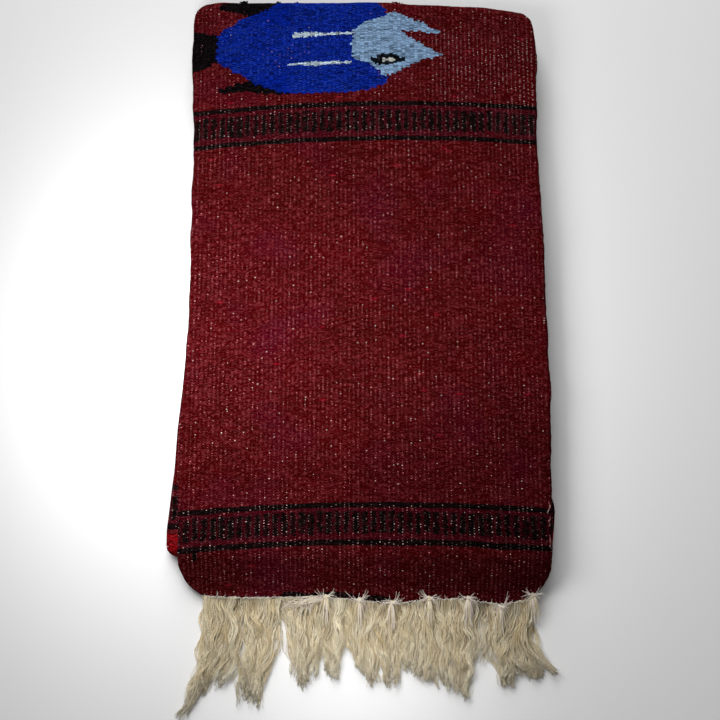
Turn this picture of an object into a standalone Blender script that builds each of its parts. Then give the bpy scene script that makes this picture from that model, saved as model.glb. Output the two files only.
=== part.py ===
# A hand-woven blanket, folded flat. Its width is folded in thirds with both flaps underneath.
# Its length is then folded in thirds, with the last third tucked inside, so the hem and the
# fringe of one end lie in front. Metres, +Z up. The origin is on the floor in the middle of
# the blanket's box, and +Y runs from the fringe to the top fold.

import math
from collections import namedtuple

import bmesh
import bpy
import numpy as np

MM = 0.001
MERGE = 0.01 * MM
SHARP_DEGREES = 40.0

# The cloth and the stack that it makes
CLOTH = 3.0 * MM
GAP = 0.3 * MM
STACK = 34.0 * MM
PACK = (STACK - 2.0 * GAP) / 3.0
LAYER_STEP = (PACK - CLOTH) / 2.0
CROWN = 1.2 * MM
CROWN_FADE = 60.0 * MM
CROWN_HALF_WIDTH = 212.0 * MM
TUCKED_CROWN_SHARE = 0.5

# Where the folds and the hem lie along the blanket
TOP_FOLD_Y = 430.5 * MM
BOTTOM_FOLD_Y = -254.5 * MM
HEM_Y = -296.5 * MM
MIDLINE_X = 4.5 * MM

# The front end hangs over the bottom fold and lies out on the floor
SLOPE_DEGREES = 32.0
FOOT_RADIUS = 30.0 * MM
HEM_SPREAD = 80.0 * MM
HEM_STEP_BACK = 1.5 * MM
STEP_BACK_FADE = 12.0 * MM

# Round corners, seen from above
HEM_CORNER_LEFT = 42.0 * MM
HEM_CORNER_RIGHT = 35.0 * MM
TOP_CORNER = 16.0 * MM
BOTTOM_CORNER = 11.0 * MM

# Flaps end a little short of the far fold, and squeeze together at the bottom fold
FLAP_SHORT = 5.0 * MM
FOLD_SQUEEZE = 0.15
SQUEEZE_START_Y = -200.0 * MM
SQUEEZE_FADE = 40.0 * MM

# Half widths of the upper and the lower layers, measured from the midline
UPPER_EDGES_MM = {
    "at": (-247, -156, -64, 30, 130, 230, 300, 360, 413),
    "left": (212.0, 214.0, 212.0, 207.0, 208.5, 207.5, 210.5, 212.5, 212.0),
    "right": (211.5, 213.0, 215.5, 212.5, 212.0, 207.5, 208.5, 211.0, 209.0),
}
LOWER_EDGES_MM = {
    "at": (-243, -224, -201, -190, -178, -155, -108, -60, 0, 150, 413),
    "left": (229.0, 228.5, 226.0, 225.0, 224.0, 221.5, 219.5, 215.0, 211.0, 207.0, 209.0),
    "right": (216.5, 218.0, 220.0, 218.0, 213.5, 212.0, 211.0, 210.0, 209.0, 208.0, 207.0),
}

# How far the hem drops below its line, and how far the top fold draws back, across the width
HEM_DROP_MM = {
    "at": (-178, -97, -28, 35, 75, 110, 155, 178, 190),
    "drop": (0.0, 3.0, 6.0, 12.0, 7.0, 4.0, 7.0, 4.0, 0.0),
}
TOP_RETREAT_MM = {
    "at": (-200, -180, 30, 55, 150, 180, 200),
    "retreat": (3.0, 0.0, 0.0, 3.0, 6.5, 11.0, 15.0),
}
RETREAT_START_Y = 300.0 * MM
RETREAT_FADE = 100.0 * MM

# The fringe's tufts from left to right: where each starts and ends across the hem, where
# its tips lie, how far its first and last tips reach from the hem line, and its locks
TUFTS_MM = {
    "root": (-176, -160, -137, -117, -90, -65, -33, -3, 21, 41, 76, 121, 157, 171, 184),
    "tip_left": (-207, -183, -145, -131, -82, -60, -10, 5, 23, 42, 77, 142, 163, 196),
    "tip_right": (-185, -151, -132, -116, -65, -31, 4, 22, 38, 73, 107, 158, 186, 215),
    "reach_left": (139, 115, 98, 126, 104, 92, 88, 103, 104, 92, 95, 96, 92, 86),
    "reach_right": (118, 94, 124, 100, 104, 96, 102, 105, 94, 98, 114, 93, 94, 96),
    "locks": (4, 4, 3, 4, 4, 4, 4, 4, 3, 5, 5, 5, 3, 3),
}
KNOTS_X_MM = (-100, -58, -14, 30, 74, 112, 152, 184)
KNOT_RISE = 1.6 * MM
KNOT_SPREAD = 5.0 * MM
STRIP_DEPTH = 3.0 * MM
STRIP_HEIGHT = 2.4 * MM
LOCK_SHARE = 0.74
LOCK_HEIGHT = 1.7 * MM
TIP_SHARE = 0.45
LOCK_WAVE = 0.9 * MM
WAVE_TURN = 7.0
TUFT_TURN = 1.7
ROOT_INSET = 0.2 * MM
SETTLE_PACE = 1.3
REACH_SPREAD = 0.03
TIP_FLOOR = 1.3 * MM
TIP_LAYER_RISE = 2.1 * MM
UNDER_REACH_SHARE = 0.95

# One row of fringe for each layer of the front hem: steps along a lock, and sideways sway
FRINGE_ROWS = (
    ("fringe_face", 5, 0.0),
    ("fringe_left_flap", 4, 1.5 * MM),
    ("fringe_right_flap", 4, -1.5 * MM),
)

# How finely each stretch is divided
FOLD_STEPS = 8
CURL_STEPS = 6
FACE_STEPS = 9
FLAP_STEPS = 3
TOP_STEPS = 13

# The tucked third stops short of the top fold, and its ends draw in
TUCKED_SHORT = 34.0 * MM
TUCKED_INSET = 1.5 * MM
TUCKED_START_INSET = 0.6 * MM
TUCKED_ROUNDING_MM = {"back": (90.0, 20.0, 2.0, 0.0), "inset": (0.0, 0.0, 0.8, 3.0)}
FLAP_EDGE_SHARE = 0.36

# Colours and finish of the wool and the cotton
WINE_RED = (0.091, 0.007, 0.009, 1.0)
DEEP_RED = (0.052, 0.005, 0.007, 1.0)
CREAM = (0.43, 0.35, 0.23, 1.0)
CLOTH_ROUGHNESS = 0.92
FRINGE_ROUGHNESS = 0.85

# Sizes that follow from the ones above
HEM_Z = CLOTH / 2.0 + 2.0 * LAYER_STEP
TOP_RADIUS = (STACK - CLOTH) / 2.0
TOP_CENTRE_Y = TOP_FOLD_Y - STACK / 2.0
BOTTOM_OUTER = PACK + GAP / 2.0
BOTTOM_CENTRE_Y = BOTTOM_FOLD_Y + BOTTOM_OUTER
OVER_RADIUS = STACK - CLOTH / 2.0 - BOTTOM_OUTER

# One station along the cloth: its place, the way into the stack, and whether it lies below
Row = namedtuple("Row", "y z in_y in_z under")


# Reading tables and easing

def read(table, column, at):
    return float(np.interp(at / MM, table["at"], table[column])) * MM


def smooth(value):
    share = min(max(value, 0.0), 1.0)
    return share * share * (3.0 - 2.0 * share)


def mix(first, second, share):
    return first + (second - first) * share


def corner_inset(distance, radius):
    if distance >= radius:
        return 0.0
    reach = radius - max(distance, 0.0)
    return radius - math.sqrt(radius * radius - reach * reach)


# The cloth's way along its length, from the hem over the top and back underneath

def arc_rows(centre_y, centre_z, radius, start, end, steps, outward, under_from, under_to):
    rows = []
    for i in range(steps + 1):
        share = i / steps
        angle = math.radians(mix(start, end, share))
        side_y = math.cos(angle)
        side_z = math.sin(angle)
        rows.append(Row(centre_y + radius * side_y, centre_z + radius * side_z,
                        outward * side_y, outward * side_z, mix(under_from, under_to, share)))
    return rows


def flat_rows(ys, z, in_z, under):
    return [Row(y, z, 0.0, in_z, under) for y in ys]


def cloth_rows():
    slope = math.radians(SLOPE_DEGREES)
    over_end_y = BOTTOM_CENTRE_Y - OVER_RADIUS * math.sin(slope)
    over_end_z = BOTTOM_OUTER + OVER_RADIUS * math.cos(slope)
    foot_rise = FOOT_RADIUS * (1.0 - math.cos(slope))
    straight = (over_end_z - HEM_Z - foot_rise) / math.tan(slope)
    foot_y = over_end_y - straight - FOOT_RADIUS * math.sin(slope)

    rows = flat_rows(np.linspace(HEM_Y, foot_y, 3)[:-1], HEM_Z, -1.0, 0.0)
    rows += arc_rows(foot_y, HEM_Z + FOOT_RADIUS, FOOT_RADIUS, -90.0, -90.0 + SLOPE_DEGREES,
                     4, 1.0, 0.0, 0.0)
    middle_y = over_end_y - straight / 2.0
    middle_z = over_end_z - straight / 2.0 * math.tan(slope)
    rows.append(Row(middle_y, middle_z, math.sin(slope), -math.cos(slope), 0.0))
    rows += arc_rows(BOTTOM_CENTRE_Y, BOTTOM_OUTER, OVER_RADIUS, 90.0 + SLOPE_DEGREES, 90.0,
                     3, -1.0, 0.0, 0.0)
    top_ys = np.linspace(BOTTOM_CENTRE_Y, TOP_CENTRE_Y, TOP_STEPS + 1)[1:-1]
    rows += flat_rows(top_ys, STACK - CLOTH / 2.0, -1.0, 0.0)
    rows += arc_rows(TOP_CENTRE_Y, STACK / 2.0, TOP_RADIUS, 90.0, -90.0,
                     FOLD_STEPS, -1.0, 0.0, 1.0)
    low_ys = [at * MM for at in reversed(LOWER_EDGES_MM["at"][1:-1])]
    rows += flat_rows(low_ys, CLOTH / 2.0, 1.0, 1.0)
    rows += arc_rows(BOTTOM_CENTRE_Y, BOTTOM_OUTER, BOTTOM_OUTER - CLOTH / 2.0, -90.0, -270.0,
                     FOLD_STEPS, -1.0, 1.0, 1.0)
    return rows


def half_widths(row):
    left = mix(read(UPPER_EDGES_MM, "left", row.y), read(LOWER_EDGES_MM, "left", row.y), row.under)
    right = mix(read(UPPER_EDGES_MM, "right", row.y), read(LOWER_EDGES_MM, "right", row.y), row.under)
    top = corner_inset(TOP_FOLD_Y - CLOTH / 2.0 - row.y, TOP_CORNER)
    if row.under == 0.0:
        left -= corner_inset(row.y - HEM_Y, HEM_CORNER_LEFT)
        right -= corner_inset(row.y - HEM_Y, HEM_CORNER_RIGHT)
    if row.under == 1.0:
        bottom = corner_inset(row.y - BOTTOM_FOLD_Y - CLOTH / 2.0, BOTTOM_CORNER)
        left -= bottom
        right -= bottom
    return left - top, right - top


# The cloth's way across its width: left flap, left fold, face, right fold, right flap

def section(left, right, step):
    small = step / 2.0
    left_x = -left + CLOTH / 2.0 + small
    right_x = right - CLOTH / 2.0 - step
    points = [(mix(right_x, left_x, i / FLAP_STEPS), step) for i in range(FLAP_STEPS)]
    for i in range(CURL_STEPS + 1):
        angle = math.pi * (1.0 - i / CURL_STEPS)
        points.append((left_x - small * math.sin(angle), small * (1.0 - math.cos(angle))))
    points += [(mix(left_x, right_x, i / FACE_STEPS), 0.0) for i in range(1, FACE_STEPS)]
    for i in range(CURL_STEPS + 1):
        angle = math.pi * i / CURL_STEPS
        points.append((right_x + step * math.sin(angle), step * (1.0 - math.cos(angle))))
    end_x = -left + FLAP_SHORT
    points += [(mix(right_x, end_x, i / FLAP_STEPS), 2.0 * step) for i in range(1, FLAP_STEPS + 1)]
    return points


def crown(x, y, under):
    rise = smooth((y - BOTTOM_CENTRE_Y) / CROWN_FADE) * smooth((TOP_CENTRE_Y - y) / CROWN_FADE)
    across = 1.0 - (x / CROWN_HALF_WIDTH) ** 2
    return CROWN * rise * max(across, 0.0) * (1.0 - under)


def top_retreat(x, y):
    return read(TOP_RETREAT_MM, "retreat", x) * smooth((y - RETREAT_START_Y) / RETREAT_FADE)


def hem_shift(x, y, depth):
    near = 1.0 - smooth((y - HEM_Y) / HEM_SPREAD)
    last = 1.0 - smooth((y - HEM_Y) / STEP_BACK_FADE)
    return HEM_STEP_BACK * depth / LAYER_STEP * last - read(HEM_DROP_MM, "drop", x) * near


def cloth_point(row, x, depth):
    y = row.y + row.in_y * depth - top_retreat(x, row.y)
    z = row.z + row.in_z * depth + crown(x, row.y, row.under)
    if row.under == 0.0:
        y += hem_shift(x, row.y, depth)
    return x + MIDLINE_X, y, z


def squeezed_step(row):
    near = smooth((SQUEEZE_START_Y - row.y) / SQUEEZE_FADE)
    return LAYER_STEP * (1.0 - FOLD_SQUEEZE * near * row.under)


# Objects and materials

def make_material(name, colour, roughness):
    material = bpy.data.materials.new(name)
    material.use_nodes = True
    shader = material.node_tree.nodes["Principled BSDF"]
    shader.inputs["Base Color"].default_value = colour
    shader.inputs["Roughness"].default_value = roughness
    shader.inputs["Metallic"].default_value = 0.0
    return material


def make_object(name, mesh_builder, collection, material):
    mesh = bpy.data.meshes.new(name)
    mesh_builder.normal_update()
    mesh_builder.to_mesh(mesh)
    mesh_builder.free()
    mesh.shade_smooth()
    mesh.set_sharp_from_angle(angle=math.radians(SHARP_DEGREES))
    mesh.materials.append(material)
    made = bpy.data.objects.new(name, mesh)
    collection.objects.link(made)
    return made


def place_grid(points):
    # A plane of quads whose vertices take the given rows of points
    rows = len(points)
    columns = len(points[0])
    builder = bmesh.new()
    bmesh.ops.create_grid(builder, x_segments=columns - 1, y_segments=rows - 1, size=1.0)
    for vertex in builder.verts:
        column = round((vertex.co.x + 1.0) / 2.0 * (columns - 1))
        row = round((vertex.co.y + 1.0) / 2.0 * (rows - 1))
        vertex.co = points[row][column]
    return builder


# The cloth that shows, as one wall through all its folds

def make_cloth(collection, material):
    points = []
    for row in cloth_rows():
        left, right = half_widths(row)
        step = squeezed_step(row)
        points.append([cloth_point(row, x, depth) for x, depth in section(left, right, step)])
    cloth = make_object("blanket_cloth", place_grid(points), collection, material)
    wall = cloth.modifiers.new("wall", "SOLIDIFY")
    wall.thickness = CLOTH
    wall.offset = 0.0
    return cloth


# The tucked third, as one rounded solid whose edges show its layers

def tucked_section(left, right, low, high, y):
    radius = (high - low) / 2.0
    points = []
    for i in range(CURL_STEPS + 1):
        angle = math.radians(-90.0 + 180.0 * i / CURL_STEPS)
        points.append((right - radius + radius * math.cos(angle),
                       low + radius + radius * math.sin(angle)))
    points += [(right / 2.0, high), (0.0, high), (-left / 2.0, high)]
    fold_low = mix(low, high, FLAP_EDGE_SHARE)
    fold_radius = (high - fold_low) / 2.0
    for i in range(CURL_STEPS + 1):
        angle = math.radians(90.0 + 180.0 * i / CURL_STEPS)
        points.append((-left + fold_radius + fold_radius * math.cos(angle),
                       fold_low + fold_radius + fold_radius * math.sin(angle)))
    flap_radius = (fold_low - low) / 2.0
    flap_x = -left + FLAP_SHORT + flap_radius
    points.append((flap_x + flap_radius, fold_low - GAP))
    for i in range(1, 4):
        angle = math.radians(90.0 + 45.0 * i)
        points.append((flap_x + flap_radius * math.cos(angle),
                       low + flap_radius + flap_radius * math.sin(angle)))
    points += [(flap_x, low), (0.0, low)]
    lift = TUCKED_CROWN_SHARE / (high - low)
    return [(x + MIDLINE_X, y, z + crown(x, y, 0.0) * (z - low) * lift) for x, z in points]


def make_tucked(collection, material):
    low = PACK + GAP
    high = 2.0 * PACK + GAP
    start = BOTTOM_CENTRE_Y + CLOTH / 4.0
    end = TOP_CENTRE_Y - TUCKED_SHORT
    stations = [(start, TUCKED_START_INSET)]
    stations += [(at * MM, 0.0) for at in LOWER_EDGES_MM["at"][1:-1]]
    rounding = zip(TUCKED_ROUNDING_MM["back"], TUCKED_ROUNDING_MM["inset"])
    stations += [(end - back * MM, inset * MM) for back, inset in rounding]
    rings = []
    for y, inset in stations:
        left = read(LOWER_EDGES_MM, "left", y) - TUCKED_INSET - inset
        right = read(LOWER_EDGES_MM, "right", y) - TUCKED_INSET - inset
        ring = tucked_section(left, right, low + inset / 2.0, high - inset / 2.0, y)
        rings.append(ring + [ring[0]])
    builder = place_grid(rings)
    bmesh.ops.remove_doubles(builder, verts=builder.verts, dist=MERGE)
    ends = [edge for edge in builder.edges if edge.is_boundary]
    bmesh.ops.holes_fill(builder, edges=ends, sides=0)
    bmesh.ops.triangulate(builder, faces=[face for face in builder.faces if len(face.verts) > 4])
    bmesh.ops.recalc_face_normals(builder, faces=builder.faces)
    return make_object("tucked_layers", builder, collection, material)


# Fringe: a narrow strip along one layer's hem, with its locks drawn out of the front

def hem_line(layer):
    # The front edge of one layer, and the room that the round folds at its ends need
    row = cloth_rows()[0]
    left, right = half_widths(row)
    depth = layer * LAYER_STEP
    across = sorted(x for x, at in section(left, right, LAYER_STEP) if abs(at - depth) < MERGE)
    along = [HEM_Y + hem_shift(x, HEM_Y, depth) for x in across]
    first = -left + CLOTH + LAYER_STEP
    last = right - CLOTH - LAYER_STEP

    def line(x):
        beyond = abs(x - min(max(x, first), last))
        return np.interp(x, across, along) - CLOTH / 2.0 * smooth(beyond / CLOTH)

    return line


def tuft_locks(reach_share, sway, generator):
    # Each lock: its root cell, its tip, how far it reaches and the room that it has at its tip
    locks = []
    for tuft, count in enumerate(TUFTS_MM["locks"]):
        root_left = TUFTS_MM["root"][tuft] * MM
        root_right = TUFTS_MM["root"][tuft + 1] * MM
        tip_left = TUFTS_MM["tip_left"][tuft] * MM + sway
        tip_right = TUFTS_MM["tip_right"][tuft] * MM + sway
        for lock in range(count):
            share = (lock + 0.5) / count
            reach = mix(TUFTS_MM["reach_left"][tuft], TUFTS_MM["reach_right"][tuft], share) * MM
            locks.append({
                "cell": (mix(root_left, root_right, lock / count),
                         mix(root_left, root_right, (lock + 1) / count)),
                "tip": mix(tip_left, tip_right, share),
                "room": (tip_right - tip_left) / count,
                "reach": reach * (reach_share - REACH_SPREAD * generator.random()),
                "phase": tuft * TUFT_TURN,
            })
    return locks


def knot_rise(x):
    nearest = min(abs(x - at * MM) for at in KNOTS_X_MM)
    return KNOT_RISE * (1.0 - smooth(nearest / KNOT_SPREAD))


def draw_lock(builder, face, lock, root_y, root_z, tip_z, steps):
    width = lock["cell"][1] - lock["cell"][0]
    root_x = (lock["cell"][0] + lock["cell"][1]) / 2.0
    bmesh.ops.inset_individual(builder, faces=[face], thickness=ROOT_INSET)
    for step in range(1, steps + 1):
        share = step / steps
        wave = LOCK_WAVE * math.sin(share * WAVE_TURN + lock["phase"]) * share
        x = mix(root_x, lock["tip"], share) + wave
        y = mix(root_y, HEM_Y - lock["reach"], share)
        z = mix(root_z, tip_z, smooth(share * SETTLE_PACE))
        taper = 1.0 if step < steps else TIP_SHARE
        half_width = mix(width, lock["room"], share) * LOCK_SHARE * taper / 2.0
        half_height = LOCK_HEIGHT * taper / 2.0
        face = bmesh.ops.extrude_discrete_faces(builder, faces=[face])["faces"][0]
        middle = face.calc_center_median()
        for vertex in face.verts:
            side = 1.0 if vertex.co.x > middle.x else -1.0
            up = 1.0 if vertex.co.z > middle.z else -1.0
            vertex.co = (x + side * half_width + MIDLINE_X, y, z + up * half_height)


def make_fringe(name, layer, steps, sway, collection, material):
    depth = layer * LAYER_STEP
    reach_share = 1.0 if layer == 0 else UNDER_REACH_SHARE
    locks = tuft_locks(reach_share, sway, np.random.default_rng(layer))
    edges = [lock["cell"][0] for lock in locks] + [locks[-1]["cell"][1]]
    root_z = HEM_Z - depth
    tip_z = TIP_FLOOR + (2 - layer) * TIP_LAYER_RISE
    low = root_z - STRIP_HEIGHT / 2.0
    high = root_z + STRIP_HEIGHT / 2.0
    front_edge = hem_line(layer)
    lower = []
    upper = []
    for x in edges:
        rise = knot_rise(x) if layer == 0 else 0.0
        y = front_edge(x) - 2.0 * GAP - STRIP_DEPTH
        lower.append((x + MIDLINE_X, y, low))
        upper.append((x + MIDLINE_X, y, high + rise))
    builder = place_grid([lower, upper])
    front = sorted(builder.faces, key=lambda face: face.calc_center_median().x)
    spine = [face.calc_center_median() for face in front]
    back = bmesh.ops.extrude_face_region(builder, geom=front, use_keep_orig=True)
    moved = [item for item in back["geom"] if isinstance(item, bmesh.types.BMVert)]
    bmesh.ops.translate(builder, verts=moved, vec=(0.0, STRIP_DEPTH, 0.0))
    bmesh.ops.recalc_face_normals(builder, faces=builder.faces)
    for lock, face, place in zip(locks, front, spine):
        draw_lock(builder, face, lock, place.y, root_z, tip_z, steps)
    bmesh.ops.recalc_face_normals(builder, faces=builder.faces)
    return make_object(name, builder, collection, material)


# Build

def clear_scene():
    for item in list(bpy.data.objects):
        bpy.data.objects.remove(item, do_unlink=True)


def build():
    clear_scene()
    collection = bpy.data.collections.new("folded_blanket")
    bpy.context.scene.collection.children.link(collection)
    wool = make_material("wine_wool", WINE_RED, CLOTH_ROUGHNESS)
    inner_wool = make_material("inner_wool", DEEP_RED, CLOTH_ROUGHNESS)
    cotton = make_material("cream_cotton", CREAM, FRINGE_ROUGHNESS)
    make_cloth(collection, wool)
    make_tucked(collection, inner_wool)
    for layer, (name, steps, sway) in enumerate(FRINGE_ROWS):
        make_fringe(name, layer, steps, sway, collection, cotton)


build()
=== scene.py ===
import math

import bpy
import numpy as np
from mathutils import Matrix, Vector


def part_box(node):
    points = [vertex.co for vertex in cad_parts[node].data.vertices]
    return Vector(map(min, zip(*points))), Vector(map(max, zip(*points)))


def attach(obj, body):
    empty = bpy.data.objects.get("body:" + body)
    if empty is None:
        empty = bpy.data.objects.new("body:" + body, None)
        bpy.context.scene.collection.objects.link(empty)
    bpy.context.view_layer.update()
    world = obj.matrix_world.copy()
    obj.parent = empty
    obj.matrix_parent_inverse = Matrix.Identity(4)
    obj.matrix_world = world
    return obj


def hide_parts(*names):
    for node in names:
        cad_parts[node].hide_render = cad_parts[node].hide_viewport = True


# A folded hand-woven blanket: one cloth through all its folds, the tucked third, and the
# fringe of the front hem. Everything is in metres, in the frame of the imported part.

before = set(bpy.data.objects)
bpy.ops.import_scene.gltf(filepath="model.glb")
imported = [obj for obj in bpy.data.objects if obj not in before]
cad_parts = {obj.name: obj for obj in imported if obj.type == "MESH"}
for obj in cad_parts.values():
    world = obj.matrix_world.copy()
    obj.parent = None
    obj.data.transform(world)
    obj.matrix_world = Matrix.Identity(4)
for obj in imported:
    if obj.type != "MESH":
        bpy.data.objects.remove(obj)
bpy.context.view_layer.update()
clothLow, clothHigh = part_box("blanket_cloth")
tuckedLow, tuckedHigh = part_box("tucked_layers")
print("frame loaded")

# Sizes that the folded stack is worked out from
stack = {
    "clothThick": 0.003,
    "gap": 0.0003,
    "crown": 0.0012,
    "crownFade": 0.060,
    "crownHalfWidth": 0.212,
    "midlineX": 0.0045,
    "slopeDegrees": 32.0,
    "footRadius": 0.030,
    "hemDrop": 0.012,
    "hemSpread": 0.080,
    "hemStepBack": 0.0015,
    "hemStepFade": 0.012,
    "hemCornerLeft": 0.039,
    "hemCornerRight": 0.035,
    "topCornerLeft": (0.040, 0.016),
    "topCornerRight": (0.030, 0.013),
    "bottomCorner": 0.011,
    "flapShort": 0.005,
    "foldSqueeze": 0.15,
    "squeezeStart": -0.200,
    "squeezeFade": 0.040,
    "retreatStart": 0.300,
    "retreatFade": 0.100,
}

# Half widths from the midline, of the upper and the lower layers
upperEdges = {
    "at": (-0.247, -0.156, -0.064, 0.030, 0.130, 0.230, 0.300, 0.360, 0.413),
    "left": (0.2120, 0.2140, 0.2120, 0.2070, 0.2085, 0.2075, 0.2105, 0.2125, 0.2120),
    "right": (0.2130, 0.2150, 0.2175, 0.2153, 0.2148, 0.2105, 0.2115, 0.2140, 0.2100),
}
lowerEdges = {
    "at": (-0.243, -0.224, -0.201, -0.190, -0.178, -0.155, -0.108, -0.060, 0.0, 0.150, 0.413),
    "left": (0.2280, 0.2283, 0.2260, 0.2250, 0.2240, 0.2215, 0.2195, 0.2150, 0.2110, 0.2070, 0.2090),
    "right": (0.2165, 0.2188, 0.2208, 0.2188, 0.2143, 0.2128, 0.2118, 0.2108, 0.2095, 0.2085, 0.2075),
}

# The hem's droop below its line and the top fold's slant, across the width
hemDroop = {
    "at": (-0.178, -0.140, -0.097, -0.028, 0.035, 0.075, 0.110, 0.155, 0.178, 0.190),
    "drop": (0.0040, 0.0055, 0.0048, 0.0060, 0.0120, 0.0070, 0.0066, 0.0125, 0.0095, 0.0070),
}
topSlant = {
    "at": (-0.200, -0.180, 0.030, 0.055, 0.150, 0.180, 0.200),
    "retreat": (0.003, 0.0, 0.0, 0.003, 0.0065, 0.011, 0.015),
}

clothThick = stack["clothThick"]
packHigh = tuckedLow.z - stack["gap"]
stackHigh = 3 * packHigh + 2 * stack["gap"]
layerStep = (packHigh - clothThick) / 2
topFoldY = clothHigh.y
topCentreY = topFoldY - stackHigh / 2
bottomOuter = packHigh + stack["gap"] / 2
bottomCentreY = tuckedLow.y - clothThick / 4
bottomFoldY = bottomCentreY - bottomOuter
overRadius = stackHigh - clothThick / 2 - bottomOuter
hemY = clothLow.y + stack["hemDrop"]
hemZ = clothThick / 2 + 2 * layerStep


# Small helpers

def readTable(table, column, at):
    return np.interp(at, table["at"], table[column])


def smooth(value):
    share = np.clip(value, 0.0, 1.0)
    return share * share * (3.0 - 2.0 * share)


def mix(first, second, share):
    return first + (second - first) * share


def cornerInset(distance, radius):
    reach = radius - np.clip(distance, 0.0, radius)
    return radius - np.sqrt(radius * radius - reach * reach)


def softWaves(x, y, waves, seed):
    # A sum of slow sine waves with random directions: scale in metres, height in metres
    rng = np.random.default_rng(seed)
    total = np.zeros(np.broadcast(x, y).shape)
    for scale, height in waves:
        for turn in rng.uniform(0, 2 * math.pi, 5):
            phase = rng.uniform(0, 2 * math.pi)
            size = 2 * math.pi / (scale * rng.uniform(0.7, 1.4))
            total = total + height / 2.2 * np.sin(size * (x * math.cos(turn) + y * math.sin(turn)) + phase)
    return total


def gridFaces(rows, columns):
    corner = np.arange(rows * columns).reshape(rows, columns)
    return np.stack([corner[:-1, :-1], corner[:-1, 1:], corner[1:, 1:], corner[1:, :-1]], -1).reshape(-1, 4)


def meshObject(name, points, faces, loopUvs=None):
    mesh = bpy.data.meshes.new(name)
    mesh.from_pydata(points.reshape(-1, 3).tolist(), [], [list(face) for face in faces])
    if loopUvs is not None:
        layer = mesh.uv_layers.new(name="clothUv")
        layer.data.foreach_set("uv", np.asarray(loopUvs, dtype=np.float32).ravel())
    mesh.update()
    mesh.shade_smooth()
    made = bpy.data.objects.new(name, mesh)
    bpy.context.scene.collection.objects.link(made)
    return made


# Node helpers for the materials. A wire is a node's output that can be reckoned with: each
# sign between two wires, or a wire and a number, becomes one Math node. A bar takes the larger.

def reckon(tree, operation, *values):
    node = tree.nodes.new("ShaderNodeMath")
    node.operation = operation
    for socket, value in zip(node.inputs, values):
        feed(tree, socket, value)
    return Wire(tree, node.outputs[0])


def sign(operation, swapped=False):
    def join(first, second):
        values = (second, first) if swapped else (first, second)
        return reckon(first.tree, operation, *values)
    return join


def single(operation):
    return lambda wire: reckon(wire.tree, operation, wire)


class Wire:
    def __init__(self, tree, socket):
        self.tree = tree
        self.socket = socket

    __add__ = sign("ADD")
    __radd__ = sign("ADD", swapped=True)
    __sub__ = sign("SUBTRACT")
    __rsub__ = sign("SUBTRACT", swapped=True)
    __mul__ = sign("MULTIPLY")
    __truediv__ = sign("DIVIDE")
    __pow__ = sign("POWER")
    __or__ = sign("MAXIMUM")
    __lt__ = sign("LESS_THAN")
    __gt__ = sign("GREATER_THAN")
    __abs__ = single("ABSOLUTE")
    __round__ = single("ROUND")
    __floor__ = single("FLOOR")
    fract = single("FRACT")
    sine = single("SINE")
    pingPong = sign("PINGPONG")
    least = sign("MINIMUM")

    def wrap(self, high, low):
        return reckon(self.tree, "WRAP", self, high, low)

    def clamped(self):
        self.socket.node.use_clamp = True
        return self

    def spread(self, gain, middle=0.5):
        # A noise made stronger round its middle
        return (self - middle) * gain


def feed(tree, socket, value):
    if isinstance(value, Wire):
        tree.links.new(value.socket, socket)
    elif isinstance(value, tuple):
        socket.default_value = (*value, 1.0) if len(socket.default_value) == 4 else value
    else:
        socket.default_value = value


def newMaterial(name, roughness, gloss=0.05, sheen=0.0):
    material = bpy.data.materials.new(name)
    material.use_nodes = True
    shader = material.node_tree.nodes["Principled BSDF"]
    shader.inputs["Roughness"].default_value = roughness
    shader.inputs["Specular IOR Level"].default_value = gloss
    shader.inputs["Sheen Weight"].default_value = sheen
    shader.inputs["Sheen Roughness"].default_value = 0.6
    return material, material.node_tree, shader


def uvPlaces(tree):
    node = tree.nodes.new("ShaderNodeUVMap")
    node.uv_map = "clothUv"
    split = tree.nodes.new("ShaderNodeSeparateXYZ")
    tree.links.new(node.outputs[0], split.inputs[0])
    return Wire(tree, split.outputs[0]), Wire(tree, split.outputs[1])


def addBump(tree, shader, relief, strength, distance):
    bump = tree.nodes.new("ShaderNodeBump")
    bump.inputs["Strength"].default_value = strength
    bump.inputs["Distance"].default_value = distance
    feed(tree, bump.inputs["Height"], relief)
    tree.links.new(bump.outputs[0], shader.inputs["Normal"])


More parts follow.
